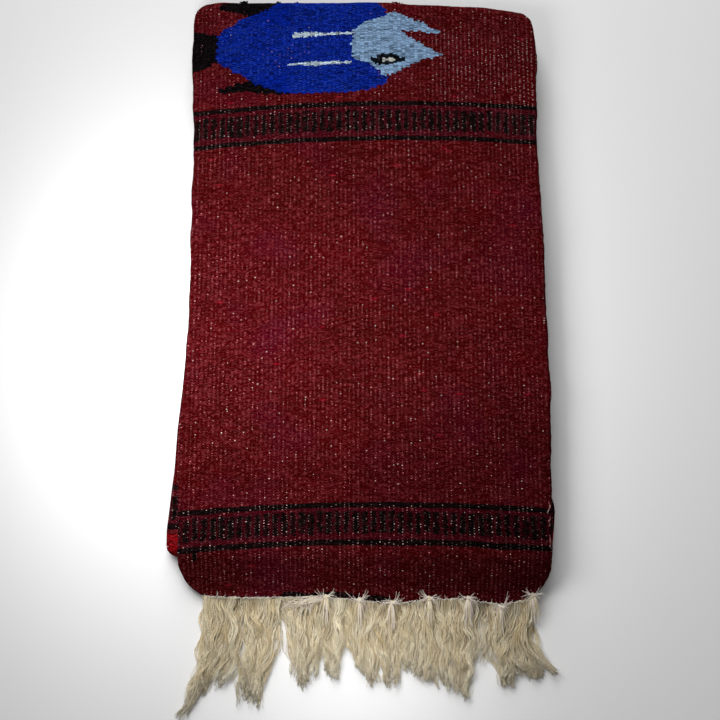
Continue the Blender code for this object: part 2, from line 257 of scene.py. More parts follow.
def maker(tree):
    # Gives the makers of colour mixes, vectors, noises and curves for one material
    def colourMix(share, first, second, blend="MIX"):
        node = tree.nodes.new("ShaderNodeMix")
        node.data_type = "RGBA"
        node.blend_type = blend
        feed(tree, node.inputs[0], share)
        feed(tree, node.inputs[6], first)
        feed(tree, node.inputs[7], second)
        return Wire(tree, node.outputs[2])

    def pair(first, second, third=0.0):
        node = tree.nodes.new("ShaderNodeCombineXYZ")
        for socket, value in zip(node.inputs, (first, second, third)):
            feed(tree, socket, value)
        return Wire(tree, node.outputs[0])

    def noiseAt(vector, scale, detail=2.0):
        node = tree.nodes.new("ShaderNodeTexNoise")
        feed(tree, node.inputs["Vector"], vector)
        node.inputs["Scale"].default_value = scale
        node.inputs["Detail"].default_value = detail
        return Wire(tree, node.outputs["Fac"])

    def dice(first, second=0.0, third=0.0):
        # A number from 0 to 1 for each cell
        node = tree.nodes.new("ShaderNodeTexWhiteNoise")
        node.noise_dimensions = "3D"
        feed(tree, node.inputs["Vector"], pair(first, second, third))
        return Wire(tree, node.outputs["Value"])

    def curve(value, points):
        # A line through a few (place, height) points, flat beyond its ends
        low, high = points[0][0], points[-1][0]
        fit = tree.nodes.new("ShaderNodeMapRange")
        fit.inputs["From Min"].default_value = low
        fit.inputs["From Max"].default_value = high
        feed(tree, fit.inputs["Value"], value)
        node = tree.nodes.new("ShaderNodeFloatCurve")
        tall = max(abs(height) for _, height in points) or 1.0
        line = node.mapping.curves[0]
        spots = [((place - low) / (high - low), 0.5 + 0.5 * height / tall) for place, height in points]
        line.points[0].location = spots[0]
        line.points[-1].location = spots[-1]
        for spot in spots[1:-1]:
            line.points.new(*spot)
        for point in line.points:
            point.handle_type = "AUTO_CLAMPED"
        node.mapping.update()
        tree.links.new(fit.outputs[0], node.inputs["Value"])
        return (Wire(tree, node.outputs[0]) - 0.5) * (2.0 * tall)

    return colourMix, pair, noiseAt, dice, curve


# The wool: weft-faced weave, striped bands with ladders, and rows of fish. Places are the
# cloth's own, across from the middle of the face and along from the front hem. Tables are
# (place, height) points, and spans are from and to.

weave = {
    "warpPitch": 0.00508,
    "pickPitch": 0.00144,
    "wineRed": (0.092, 0.0004, 0.0014),
    "darkRed": (0.050, 0.0002, 0.0006),
    "plumRed": (0.070, 0.0005, 0.0072),
    "pinkRed": (0.125, 0.0090, 0.0120),
    "brightShare": 0.55,
    "brightFrom": 0.78,
    "roughness": 0.95,
    "bumpStrength": 0.8,
    "beadDepth": 0.0007,
    # Painted shade by bead height, and the colours of the painted highlight on the crests
    "litLeast": 0.46,
    "litByHeight": 0.85,
    "napHighlight": (0.044, 0.0215, 0.0235),
    "fishNapHighlight": (0.018, 0.034, 0.052),
    # Painted shade towards the front hem and the right
    "paintedShadeAlong": ((0.0, 0.74), (0.06, 0.78), (0.12, 0.82), (0.18, 0.86), (0.27, 1.0)),
    "paintedShadeRight": ((-0.05, 0.0), (0.20, 0.9)),
}
slubs = {
    "colour": (0.230, 0.0020, 0.0100),
    "wide": 0.011,
    "picksHigh": 2.6,
    "share": 0.007,
    "strength": 0.75,
}
bands = {
    "length": 2.0642,
    "low": (0.0646, 0.1052),
    "high": (0.5462, 0.5910),
    "stripeHalf": 0.0030,
    "ladderStart": 0.22,
    "ladderEnd": 0.82,
    "rungWide": 0.70,
    "seamFrom": 0.34,
    "plum": (0.044, 0.0004, 0.0044),
    "plumShare": 0.72,
    "black": (0.0022, 0.0018, 0.0016),
    "soot": (0.0085, 0.0034, 0.0034),
    "strayAt": (-0.193, 0.0573),
    "strayHalf": (0.0026, 0.0046),
    # How far along from the hem the painted shade reaches, across the width
    "hemShadeReach": ((-0.22, 0.0), (-0.100, 0.0003), (-0.088, 0.0068), (-0.060, 0.0058), (-0.046, 0.0076),
                   (-0.014, 0.0076), (-0.002, 0.0040), (0.014, 0.0080), (0.034, 0.0030),
                   (0.060, 0.0008), (0.22, 0.0006)),
    "bowMiddle": (0.020, 0.045),
    "bowDeep": (0.0078, 0.0088),
    "bowReach": 0.2,
    "bowEnd": 0.26,
}
fish = {
    "panelStart": 0.6064,
    "firstRow": 0.1330,
    "rowPitch": 0.1210,
    "rows": 7,
    "halfTall": 0.058,
    "repeat": 0.455,
    "wrapFrom": -0.240,
    "rowShift": 0.28,
    "light": (0.276, 0.438, 0.672),
    "black": (0.0030, 0.0030, 0.0034),
    "white": (0.66, 0.66, 0.62),
    "dash": (0.62, 0.76, 0.86),
    "bodies": ((0.0012, 0.0155, 0.300), (0.010, 0.085, 0.040), (0.33, 0.13, 0.012), (0.075, 0.008, 0.11),
               (0.006, 0.10, 0.13), (0.30, 0.050, 0.008), (0.250, 0.0010, 0.0035)),
}
# One fish's outline, across from the middle of its place and along from its own midline
fishShape = {
    "lean": ((-0.24, 0.0095), (-0.16, 0.0075), (-0.09, 0.0), (0.1, 0.0)),
    "bodySpan": (-0.182, 0.031),
    "bodyHalf": ((-0.182, 0.016), (-0.176, 0.021), (-0.150, 0.036), (-0.118, 0.051), (-0.095, 0.057),
                 (-0.03, 0.058), (0.000, 0.056), (0.018, 0.050), (0.031, 0.040)),
    "upperTaller": 0.09,
    "overFold": ((-0.118, 0.0), (-0.094, 0.012), (0.002, 0.014), (0.018, 0.006), (0.031, 0.0)),
    "headSpan": (-0.0145, 0.096),
    "headTop": ((-0.018, 0.021), (-0.011, 0.027), (0.009, 0.038), (0.023, 0.041), (0.034, 0.047),
                (0.044, 0.047), (0.056, 0.042), (0.066, 0.0385), (0.080, 0.032), (0.093, 0.0260)),
    "headLow": ((-0.020, -0.008), (-0.010, -0.015), (0.010, -0.023), (0.028, -0.036), (0.045, -0.030),
                (0.070, -0.016), (0.095, -0.0075)),
    "mouthFrom": 0.046,
    "mouthTop": 0.0235,
    "jaw": 0.0220,
    "jawSlope": 0.58,
    "eyeAt": (0.028, -0.0158),
    "eyeSlope": 0.40,
    "eyeSize": 0.0098,
    "eyeHalf": 0.0076,
    "pupilHalf": (0.0078, 0.0026),
    "dashAlong": (0.0198, -0.0190),
    "dashSpans": ((-0.089, -0.015), (-0.095, -0.017)),
    "dashThick": (((-0.090, 0.0027), (-0.078, 0.0030), (-0.050, 0.0020), (-0.016, 0.0015)),
                  ((-0.094, 0.0009), (-0.080, 0.0013), (-0.060, 0.0024), (-0.040, 0.0020),
                   (-0.016, 0.0015))),
    "tailSpan": (-0.238, -0.181),
    "tailRoot": -0.182,
    "tailHalf": 0.018,
    "tailSlope": 0.40,
    "finSpan": (-0.180, -0.094),
    "finFrom": -0.184,
    "finLine": 0.0545,
    "finSlope": 0.27,
    "finEdge": 0.0575,
    "finUpper": 0.0060,
    "finOverFold": ((-0.180, -0.002), (-0.165, 0.004), (-0.150, 0.014)),
}
# Cream and pink warp that shows between the beads: how often, how large and how bright
warpDots = {
    "cream": (0.86, 0.64, 0.58),
    "pink": (0.90, 0.30, 0.32),
    "chance": 0.36,
    "byZone": 1.6,
    "byColumn": 0.30,
    "along": ((0.0, 0.12), (0.03, 0.20), (0.12, 0.0), (0.18, 0.05), (0.235, 0.20), (0.29, 0.02),
              (0.33, 0.04), (0.385, 0.12), (0.45, 0.0), (0.52, 0.13), (0.62, 0.10), (0.8, 0.06)),
    "sideAcross": ((0.04, 0.0), (0.10, 0.30), (0.18, 0.45), (0.20, 0.75), (0.215, 0.6)),
    "sideAlong": ((0.58, 0.0), (0.605, 0.9), (0.67, 1.0), (0.70, 0.2)),
    "lessOnFish": 0.62,
    "wide": 0.12,
    "edge": 0.37,
    "power": 0.18,
    "bareAt": (0.2096, 0.091),
    "bareHalf": (0.0006, 0.025),
}


def fishMasks(curve, across, along, fineAlong, ragged, firstRow):
    shape = fishShape

    def inside(span):
        return (across > span[0]) * (across < span[1])

    # The tail end is drawn a little higher than the head, and the upper half a little taller.
    # The fish of the first row is taller still, and runs over the top fold.
    lean = curve(across, shape["lean"])
    along = along - lean
    fineAlong = fineAlong - lean
    off = abs(along)
    upper = along > 0.0
    bodyOff = off * (1.0 - upper * shape["upperTaller"])
    firstTop = firstRow * upper
    bodyOff = bodyOff - firstTop * curve(across, shape["overFold"])
    body = (bodyOff < curve(across, shape["bodyHalf"])) * inside(shape["bodySpan"])

    head = (along < curve(across, shape["headTop"])) * (along > curve(across, shape["headLow"]))
    gape = across - shape["mouthFrom"]
    jaw = shape["jaw"] - gape * shape["jawSlope"]
    mouth = (along < shape["mouthTop"]) * (along > jaw) * (gape > 0.0)
    head = head * inside(shape["headSpan"]) * (1.0 - mouth)

    # The eye is a flat lozenge with cut ends
    eyeSide = abs(across - shape["eyeAt"][0])
    eyeOff = abs(along - shape["eyeAt"][1])
    eye = (eyeOff + eyeSide * shape["eyeSlope"] < shape["eyeSize"]) * (eyeOff < shape["eyeHalf"])
    pupil = (eyeOff < shape["pupilHalf"][1]) * (eyeSide < shape["pupilHalf"][0])

    # Two dashes of ragged yarn, thicker at the tail end
    rough = 0.45 + ragged * 1.05
    highDash, lowDash = [
        (abs(fineAlong - level) < curve(across, thick) * rough) * inside(span)
        for level, thick, span in zip(shape["dashAlong"], shape["dashThick"], shape["dashSpans"])]

    tailHalf = (shape["tailRoot"] - across) * shape["tailSlope"] + shape["tailHalf"]
    tail = (off < tailHalf) * inside(shape["tailSpan"])
    finLine = shape["finLine"] - (across - shape["finFrom"]) * shape["finSlope"]
    finEdge = shape["finEdge"] + upper * shape["finUpper"]
    finEdge = finEdge + firstTop * curve(across, shape["finOverFold"])
    fin = (off > finLine) * (off < finEdge) * inside(shape["finSpan"])
    return body, head, eye, pupil, highDash | lowDash, tail | fin


def woolMaterial():
    material, tree, shader = newMaterial("wovenWool", weave["roughness"], gloss=0.004)
    colourMix, pair, noiseAt, dice, curve = maker(tree)
    across, along = uvPlaces(tree)
    place = pair(across, along)

    def timesGrey(colour, grey):
        return colourMix(1.0, colour, pair(grey, grey, grey), "MULTIPLY")

    # The threads wander, slowly over a hand's width and unevenly from bead to bead
    along = along + noiseAt(place, 45.0).spread(0.0024)
    across = across + noiseAt(pair(across, along, 3.0), 30.0).spread(0.0018)
    along = along + noiseAt(place, 230.0, 1.0).spread(0.0016)
    across = across + noiseAt(pair(across, along, 4.0), 210.0, 1.0).spread(0.0030)

    # Warp columns and the weft beads that cover them, staggered from column to column
    warpPlace = across / weave["warpPitch"]
    warp = math.floor(warpPlace)
    warpShare = warpPlace.fract() - 0.5
    odd = warp.pingPong(1.0)
    beadPlace = along / (2 * weave["pickPitch"]) + odd * 0.5
    bead = math.floor(beadPlace)
    beadShare = beadPlace.fract() - 0.5
    beadOff = abs(beadShare)
    beadDice = dice(warp, bead)
    pick = math.floor(along / weave["pickPitch"])

    # Heathered red: each bead and each pick differs, and the hue drifts in broad patches
    streak = noiseAt(pair(across * 22.0, pick * 0.9), 1.0, 3.0)
    shade = beadDice * 0.60 + streak.spread(1.9)
    shade = (shade + noiseAt(pair(across, along, 7.0), 9.0).spread(0.9)).clamped()
    shade = (shade + noiseAt(pair(across, along, 9.0), 24.0, 1.0).spread(0.7)).clamped()
    red = colourMix(shade, weave["darkRed"], weave["wineRed"])
    plum = (noiseAt(pair(across, along, 19.0), 14.0, 1.0).spread(5.0, 0.52) * 0.6).clamped()
    red = colourMix(plum, red, weave["plumRed"])
    bright = (dice(warp, bead, 5.0) > weave["brightFrom"]) * weave["brightShare"]
    red = colourMix(bright, red, weave["pinkRed"])

    # Short slubs of brighter yarn, thick in the middle and thin at their ends
    slubHigh = slubs["picksHigh"] * weave["pickPitch"]
    slubRow = math.floor(along / slubHigh)
    slubPlace = across / slubs["wide"] + dice(slubRow, 11.0) * 7.0
    slubZone = noiseAt(pair(across, along, 13.0), 11.0, 1.0)
    slub = dice(math.floor(slubPlace), slubRow, 17.0) > 1.0 - slubZone * (2.0 * slubs["share"])
    slubBody = slubPlace.pingPong(0.5) * (along / slubHigh).pingPong(0.5) * 6.5
    slub = slub * slubBody.clamped()
    red = colourMix(slub * slubs["strength"], red, slubs["colour"])

    # Both halves of the blanket mirror each other, so the bands are read from the nearer end
    mirrored = along.least(bands["length"] - along)

    def bandMask(first, last):
        reach = (mirrored - first) / (last - first)
        half = bands["stripeHalf"] / (last - first)
        stripes = (abs(reach) < half) | (abs(reach - 1.0) < half)
        step = reach + dice(warp, 23.0).spread(0.07)
        zone = (step > bands["ladderStart"]) * (step < bands["ladderEnd"])
        # Picks of the two colours take turns, so the warps stand out as black and red rungs
        hidden = along > bands["length"] / 2
        wide = bands["rungWide"] + dice(round(warpPlace * 0.5), 29.0).spread(0.26)
        wide = wide + dice(warp, bead, 33.0).spread(0.30)
        seam = beadOff > bands["seamFrom"]
        rungs = ((warpPlace + hidden).pingPong(1.0) < wide) | seam
        redPick = (dice(warp, bead, 35.0) > 0.72) * seam
        rungs = rungs * zone * (1.0 - redPick)
        return stripes | rungs, (reach > 0.0) * (reach < 1.0)

    lowBlack, onLow = bandMask(*bands["low"])
    highBlack, onHigh = bandMask(*bands["high"])
    black = lowBlack | highBlack
    red = colourMix((onLow | onHigh) * bands["plumShare"], red, bands["plum"])

    # A stray end of black weft below the low band, and painted shade at the hem: the first picks are
    # painted black where shade lies between the hem and the fringe
    stray = abs(across - bands["strayAt"][0]) < bands["strayHalf"][0]
    stray = stray * (abs(along - bands["strayAt"][1]) < bands["strayHalf"][1])
    black = black | stray
    bow = (across - bands["bowMiddle"][0]) / bands["bowReach"]
    hemPaintedShade = along - bow * bow * bands["bowDeep"][0] < curve(across, bands["hemShadeReach"])
    colour = colourMix(black, red, colourMix(beadDice, bands["black"], bands["soot"]))

    # Fish, stepped to whole warps and pairs of picks like all tapestry figures
    wholeAlong = (bead + 0.5) * (2 * weave["pickPitch"]) - odd * weave["pickPitch"]
    panel = wholeAlong - fish["panelStart"]
    late = panel > fish["firstRow"]
    row = late * (math.floor((panel - fish["firstRow"]) / fish["rowPitch"]) + 1.0)
    rowStart = row * fish["rowPitch"] + (fish["firstRow"] - fish["rowPitch"])
    midline = late * rowStart + fish["halfTall"]
    onPanel = (panel > 0.0) * (row < fish["rows"] - 0.5)
    fishAlong = panel - midline + dice(warp, row, 31.0).spread(0.0020)
    fineAlong = along - fish["panelStart"] - midline
    ragged = dice(math.floor(across / 0.0015), row, 61.0)
    halfWarp = (math.floor(warpPlace * 2.0) + 0.5) * (weave["warpPitch"] / 2)
    halfWarp = halfWarp + dice(bead, row, 37.0).spread(0.0044)
    shifted = halfWarp - row * (fish["rowShift"] * fish["repeat"])
    fishAcross = shifted.wrap(fish["repeat"] + fish["wrapFrom"], fish["wrapFrom"])
    body, head, eye, pupil, dashes, fins = fishMasks(curve, fishAcross, fishAlong, fineAlong, ragged,
                                                     1.0 - late)

    palette = tree.nodes.new("ShaderNodeValToRGB")
    palette.color_ramp.interpolation = "CONSTANT"
    stops = palette.color_ramp.elements
    stops.remove(stops[0])
    stops[0].position = 0.0
    stops[0].color = (*fish["bodies"][0], 1.0)
    for i, bodyColour in enumerate(fish["bodies"][1:], 1):
        stops.new(i / fish["rows"]).color = (*bodyColour, 1.0)
    feed(tree, palette.inputs[0], (row + 0.5) / float(fish["rows"]))

    figure = colour
    bodyPaint = Wire(tree, palette.outputs[0])
    for mask, paint in ((fins, fish["black"]), (body, bodyPaint), (dashes, fish["dash"]),
                        (head, fish["light"]), (eye, fish["black"]), (pupil, fish["white"])):
        figure = colourMix(mask * onPanel, figure, paint)
    plyDice = dice(warp, math.floor(beadPlace * 2.0), 63.0)
    tone = (beadDice * 0.30 + plyDice * 0.60 + streak.spread(0.8, 0.19)).clamped()
    onFish = (body | head | fins) * onPanel
    colour = colourMix(onFish, figure, timesGrey(figure, tone))
    # Painted shade: the hem's edge is painted black
    colour = colourMix(hemPaintedShade, colour, bands["black"])

    # Painted shade in the valleys between the beads, and a painted highlight on the nap of their crests
    plyShare = (beadPlace * 2.0 + warpShare).fract() - 0.5
    ridge = 1.0 - warpShare * warpShare * 0.9
    swell = 1.0 - beadShare * beadShare * 2.6
    height = ridge * swell * (1.0 - plyShare * plyShare * 3.4)
    fibre = noiseAt(pair(across * 0.55, along, 51.0), 620.0, 1.0)
    lit = weave["litLeast"] + height * weave["litByHeight"] + fibre.spread(1.3)
    colour = timesGrey(colour, lit | 0.05)
    napHighlightShare = height.spread(1.5) + fibre.spread(3.4)
    napHighlightShare = (napHighlightShare * (0.35 + beadDice)).clamped() * (1.0 - black * 0.75)
    napHighlightShare = napHighlightShare * (1.0 - fins * onPanel * 0.7)
    onColour = (body | head) * onPanel * (1.0 - late)
    colour = colourMix(napHighlightShare, colour, colourMix(onColour, weave["napHighlight"], weave["fishNapHighlight"]), "ADD")

    # Painted shade: the colour is darker near the front hem, most of all at the right, where less light
    # falls
    paintedShade = curve(along, weave["paintedShadeAlong"])
    colour = timesGrey(colour, paintedShade - (1.0 - paintedShade) * curve(across, weave["paintedShadeRight"]))

    # Warp that peeps out between the beads, more in some stretches than in others
    warpZone = noiseAt(pair(across * 0.55, along, 41.0), 26.0)
    chance = warpZone.spread(warpDots["byZone"], 0.44) + dice(warp, 43.0).spread(warpDots["byColumn"], 0.42)
    chance = chance + curve(along, warpDots["along"]) + black * 0.06
    bareSide = curve(across, warpDots["sideAcross"]) * curve(along, warpDots["sideAlong"])
    everyOther = (round(beadPlace) + math.floor(warp / 2.0)).pingPong(1.0)
    chance = chance + warpDots["chance"] + bareSide
    chance = chance * (1.0 - bareSide * (1.0 - everyOther)) - onFish * warpDots["lessOnFish"]
    shown = dice(warp, round(beadPlace), 47.0) < chance
    dotDice = dice(warp, round(beadPlace), 49.0)
    bold = (dotDice - 0.5 | bareSide) - bareSide
    dotAcross = (1.3 - abs(warpShare) / warpDots["wide"]).clamped()
    dotAlong = ((beadOff - (warpDots["edge"] - bold.clamped() * 0.10)) * 8.0).clamped()
    dotPower = dotDice ** 2.6 * 0.58 + warpDots["power"] + dotDice ** 12.0 * 0.40
    dotPower = dotPower + bareSide * (0.30 + dotDice * 1.9)
    dot = (dotAcross * dotAlong * shown * dotPower).clamped()

    # One warp end lies bare along the right fold beside the low band
    bend = noiseAt(pair(along, 0.0, 53.0), 75.0, 1.0).spread(0.0100)
    bare = abs(across - warpDots["bareAt"][0] + bend) < warpDots["bareHalf"][0]
    bare = bare * (abs(along - warpDots["bareAt"][1]) < warpDots["bareHalf"][1])
    bare = bare * (dice(bead, 57.0) > 0.32)
    dot = dot | bare * (0.12 + beadDice * 0.45)
    creamShare = (dotDice + bareSide > 0.97) | black * 0.8
    colour = colourMix(dot, colour, colourMix(creamShare, warpDots["pink"], warpDots["cream"]))
    feed(tree, shader.inputs["Base Color"], colour)
    addBump(tree, shader, height + fibre * 0.5 + slub * 0.5, weave["bumpStrength"], weave["beadDepth"])
    return material


wool = woolMaterial()
print("wool made")


# The way along the cloth, as a dense line: length so far, y, z, the way into the stack, and
# how far below it lies

def clothPath():
    slope = math.radians(stack["slopeDegrees"])
    foot = stack["footRadius"]
    overEndY = bottomCentreY - overRadius * math.sin(slope)
    overEndZ = bottomOuter + overRadius * math.cos(slope)
    straight = (overEndZ - hemZ - foot * (1 - math.cos(slope))) / math.tan(slope)
    footY = overEndY - straight - foot * math.sin(slope)
    line = []

    def run(fromY, toY, z, inward, under):
        for share in np.linspace(0, 1, 60):
            line.append((mix(fromY, toY, share), z, 0.0, inward, under))

    def turn(centreY, centreZ, radius, start, end, outward, underFrom, underTo):
        for share in np.linspace(0, 1, 60):
            angle = math.radians(mix(start, end, share))
            wayY, wayZ = math.cos(angle), math.sin(angle)
            line.append((centreY + radius * wayY, centreZ + radius * wayZ,
                         outward * wayY, outward * wayZ, mix(underFrom, underTo, share)))

    run(hemY, footY, hemZ, -1.0, 0.0)
    turn(footY, hemZ + foot, foot, -90, -90 + stack["slopeDegrees"], 1.0, 0.0, 0.0)
    turn(bottomCentreY, bottomOuter, overRadius, 90 + stack["slopeDegrees"], 90, -1.0, 0.0, 0.0)
    run(bottomCentreY, topCentreY, stackHigh - clothThick / 2, -1.0, 0.0)
    turn(topCentreY, stackHigh / 2, (stackHigh - clothThick) / 2, 90, -90, -1.0, 0.0, 1.0)
    run(topCentreY, bottomCentreY, clothThick / 2, 1.0, 1.0)
    turn(bottomCentreY, bottomOuter, bottomOuter - clothThick / 2, -90, -270, -1.0, 1.0, 1.0)
    line = np.array(line)
    steps = np.hypot(np.diff(line[:, 0]), np.diff(line[:, 1]))
    keep = np.concatenate([[True], steps > 1e-7])
    length = np.concatenate([[0.0], np.cumsum(steps)])
    return np.column_stack([length, line])[keep]


pathLine = clothPath()


def pathAt(length):
    values = [np.interp(length, pathLine[:, 0], pathLine[:, i]) for i in range(1, 6)]
    size = np.hypot(values[2], values[3])
    values[2] = values[2] / size
    values[3] = values[3] / size
    return values


def halfWidths(y, under):
    left = mix(readTable(upperEdges, "left", y), readTable(lowerEdges, "left", y), under)
    right = mix(readTable(upperEdges, "right", y), readTable(lowerEdges, "right", y), under)
    fromTop = topFoldY - clothThick / 2 - y
    topLeft, topRight = [cornerInset(fromTop, tall) * wide / tall
                         for tall, wide in (stack["topCornerLeft"], stack["topCornerRight"])]
    bottom = cornerInset(y - bottomFoldY - clothThick / 2, stack["bottomCorner"]) * (under == 1.0)
    hemLeft = cornerInset(y - hemY, stack["hemCornerLeft"]) * (under == 0.0)
    hemRight = cornerInset(y - hemY, stack["hemCornerRight"]) * (under == 0.0)
    return left - topLeft - bottom - hemLeft, right - topRight - bottom - hemRight


def crownAt(x, y, under):
    rise = smooth((y - bottomCentreY) / stack["crownFade"]) * smooth((topCentreY - y) / stack["crownFade"])
    across = np.maximum(1.0 - (x / stack["crownHalfWidth"]) ** 2, 0.0)
    return stack["crown"] * rise * across * (1.0 - under)


def slantAt(x, y):
    return readTable(topSlant, "retreat", x) * smooth((y - stack["retreatStart"]) / stack["retreatFade"])


def hemShift(x, y, depth):
    near = 1.0 - smooth((y - hemY) / stack["hemSpread"])
    last = 1.0 - smooth((y - hemY) / stack["hemStepFade"])
    return stack["hemStepBack"] * depth / layerStep * last - readTable(hemDroop, "drop", x) * near


def threadSag(across, along):
    # The weft bows: threads lie nearer the fringe at both edges than in the middle
    further = np.clip((along - 0.1) / 0.5, 0, 1)
    fade = 1.0 - smooth((along - 0.72) / 0.25)
    off = np.clip(across - mix(*bands["bowMiddle"], further), -bands["bowEnd"], bands["bowEnd"])
    return mix(*bands["bowDeep"], further) * (off / bands["bowReach"]) ** 2 * fade


# The cloth that shows, one closed wall through all its folds

cloth = {
    "hemStep": 0.0018,
    "topStep": 0.0056,
    "foldStep": 0.0020,
    "underStep": 0.018,
    "endStep": 0.006,
    "bottomStep": 0.0015,
    "hemEnd": 0.0600,
    "endRun": 0.08,
    "faceColumns": 118,
    "flapColumns": 13,
    "curlColumns": 10,
    "endBack": 0.0014,
    "lumps": ((0.16, 0.00045), (0.060, 0.00025), (0.014, 0.00012)),
    "edgeWander": ((0.05, 0.0006), (0.011, 0.0003)),
    "hemWander": ((0.030, 0.0009), (0.008, 0.0005)),
}


def clothSection(left, right, step, columns):
    # Across one row: the left flap, the left fold, the face, the right fold, the right flap
    small = step / 2
    leftX = -left + clothThick / 2 + small
    rightX = right - clothThick / 2 - step
    turns = np.linspace(0, math.pi, columns["curlColumns"] + 1)
    flap = np.linspace(0, 1, columns["flapColumns"] + 1)
    face = np.linspace(0, 1, columns["faceColumns"] + 1)
    x = np.concatenate([mix(rightX, leftX, flap[:-1]), leftX - small * np.sin(turns[::-1]),
                        mix(leftX, rightX, face[1:-1]), rightX + step * np.sin(turns),
                        mix(rightX, -left + stack["flapShort"], flap[1:])])
    depth = np.concatenate([np.full(len(flap) - 1, step), small * (1 - np.cos(turns[::-1])),
                            np.zeros(len(face) - 2), step * (1 - np.cos(turns)),
                            np.full(len(flap) - 1, 2 * step)])
    run = np.concatenate([[0.0], np.cumsum(np.hypot(np.diff(x), np.diff(depth)))])
    start = len(flap) - 1 + columns["curlColumns"]
    return x, depth, run - run[start] + leftX


def buildCloth():
    # Where the hem's bend, the top, the top fold and the underside end, along the cloth
    hemEnd = cloth["hemEnd"]
    topEnd = hemEnd + topCentreY - bottomCentreY
    under = topEnd + math.pi * (stackHigh - clothThick) / 2
    total = pathLine[-1, 0]
    last = total - math.pi * (bottomOuter - clothThick / 2)
    nearEnd = last - cloth["endRun"]

    def stretch(start, end, step):
        return np.linspace(start, end, max(2, round((end - start) / step)) + 1)[:-1]

    lengths = np.concatenate([
        stretch(0.0, hemEnd, cloth["hemStep"]), stretch(hemEnd, topEnd, cloth["topStep"]),
        stretch(topEnd, under, cloth["foldStep"]), stretch(under, nearEnd, cloth["underStep"]),
        stretch(nearEnd, last, cloth["endStep"]), stretch(last, total, cloth["bottomStep"]), [total]])
    y, z, inY, inZ, below = pathAt(lengths)
    left, right = halfWidths(y, below)
    left = left + softWaves(lengths, 0 * lengths, cloth["edgeWander"], 3) * (left > 0.2)
    left = left - cloth["endBack"] * smooth((lengths - last) / 0.025)
    right = right + softWaves(lengths, 0 * lengths + 5, cloth["edgeWander"], 4) * (right > 0.2)
    nearFold = smooth((stack["squeezeStart"] - y) / stack["squeezeFade"])
    squeeze = 1.0 - stack["foldSqueeze"] * nearFold * below
    rows, uvs = [], []
    for i in range(len(lengths)):
        x, depth, across = clothSection(left[i], right[i], layerStep * squeeze[i], cloth)
        lump = softWaves(x, 0 * x + lengths[i], cloth["lumps"], 5)
        lump = lump * (below[i] < 0.5) * smooth(lengths[i] / 0.03)
        rowY = y[i] + inY[i] * depth - slantAt(x, y[i])
        rowZ = z[i] + inZ[i] * depth + crownAt(x, y[i], below[i])
        if below[i] == 0.0:
            rowY = rowY + hemShift(x, y[i], depth)
            edge = softWaves(x, 0 * x + depth * 30, cloth["hemWander"], 6)
            rowY = rowY - edge * (1 - smooth(lengths[i] / 0.010))
        rowY = rowY - inY[i] * lump * (depth < layerStep / 3)
        rowZ = rowZ - inZ[i] * lump * (depth < layerStep / 3)
        rows.append(np.column_stack([x + stack["midlineX"], rowY, rowZ]))
        uvs.append(np.column_stack([across, lengths[i] + threadSag(across, lengths[i])]))
    middle = np.array(rows)
    uvs = np.array(uvs)

    # The wall is the middle surface moved out and in by half the cloth, closed at its rim
    down = np.gradient(middle, axis=0)
    over = np.gradient(middle, axis=1)
    normal = np.cross(over, down)
    normal /= np.linalg.norm(normal, axis=2, keepdims=True)
    rowCount, columnCount = middle.shape[:2]
    outer = middle - normal * clothThick / 2
    inner = middle + normal * clothThick / 2
    points = np.concatenate([outer.reshape(-1, 3), inner.reshape(-1, 3)])
    count = rowCount * columnCount
    front = gridFaces(rowCount, columnCount)
    back = front[:, ::-1] + count
    corner = np.arange(count).reshape(rowCount, columnCount)
    rim = np.concatenate([corner[0, :], corner[1:, -1], corner[-1, -2::-1], corner[-2:0:-1, 0]])
    following = np.roll(rim, -1)
    sides = np.column_stack([following, rim, rim + count, following + count])
    faces = np.concatenate([front, back, sides])
    flat = np.concatenate([uvs.reshape(-1, 2), uvs.reshape(-1, 2)])
    return points, faces, flat[faces.reshape(-1)]


points, faces, faceUvs = buildCloth()
blanketCloth = meshObject("blanketCloth", points, faces, faceUvs)
blanketCloth.data.materials.append(wool)
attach(blanketCloth, "root")
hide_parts("blanket_cloth")
print("cloth:", len(faces), "faces")


# The tucked third: one rounded solid whose edges show three layers

tucked = {
    "inset": 0.0008,
    "startInset": 0.0002,
    "groove": 0.0045,
    "flapBack": 0.004,
    "flapShare": 0.36,
    "alongSteps": 110,
    "edgeWander": ((0.09, 0.0010), (0.02, 0.0004)),
}


def arc(centreX, centreZ, radius, start, end, count):
    turns = [math.radians(turn) for turn in np.linspace(start, end, count)]
    return [(centreX + radius * math.cos(turn), centreZ + radius * math.sin(turn)) for turn in turns]


def tuckedRing(left, right, low, high, shift):
    # Right edge: one wide fold round the others. Left edge: a fold above a free flap.
    radius = (high - low) / 2
    ring = arc(right - radius, low + radius, radius, -90, 90, 13)
    ring += [(x, high) for x in np.linspace(right - radius, -left + radius, 26)[1:-1]]
    foldLow = mix(low, high, tucked["flapShare"])
    foldRadius = (high - foldLow) / 2
    ring += arc(-left + foldRadius, foldLow + foldRadius, foldRadius, 90, 270, 13)
    ring.append((-left + foldRadius + tucked["groove"], foldLow - 0.0001))
    flapRadius = (foldLow - low) / 2
    flapX = -left + tucked["flapBack"] + flapRadius + shift
    ring += arc(flapX, low + flapRadius, flapRadius, 100, 270, 9)
    ring += [(x, low) for x in np.linspace(flapX, right - radius, 16)[1:-1]]
    return np.array(ring)


